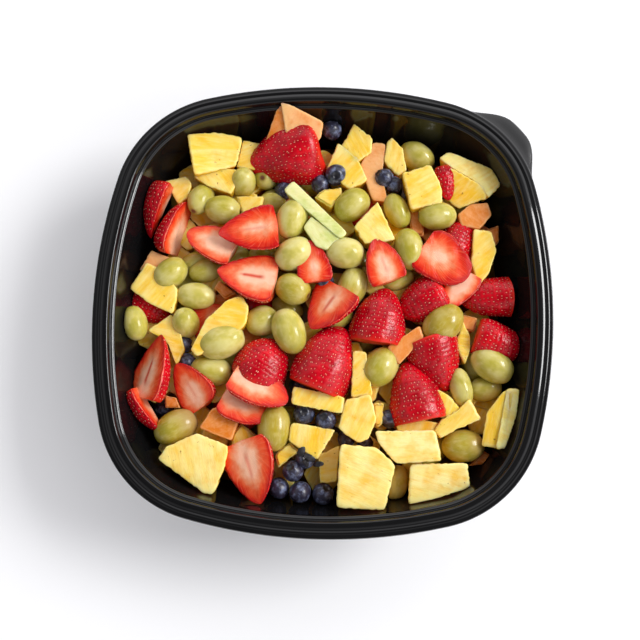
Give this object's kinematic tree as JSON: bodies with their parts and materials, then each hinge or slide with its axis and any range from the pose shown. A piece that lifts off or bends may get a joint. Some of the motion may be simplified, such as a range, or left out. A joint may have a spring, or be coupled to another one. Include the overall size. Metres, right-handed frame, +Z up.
{
  "type": "fruit salad",
  "caption": "Fruit salad of strawberries, grapes, pineapple, melon and blueberries, heaped in a square black plastic catering bowl with round corners.",
  "frame": {"origin": "middle of the bowl's footprint, on the plane that its foot stands on", "axes": "+Z up, +Y away from the person who looks down on the bowl, +X to their right, with the lifting tab at the +X +Y corner"},
  "size_m": [0.3, 0.3, 0.0954],
  "materials": {
    "black_plastic": "glossy",
    "fruit": "moist"
  },
  "bodies": {
    "root": {"bowl": "black_plastic", "fruit_heap": "fruit"}
  },
  "joints": []
}
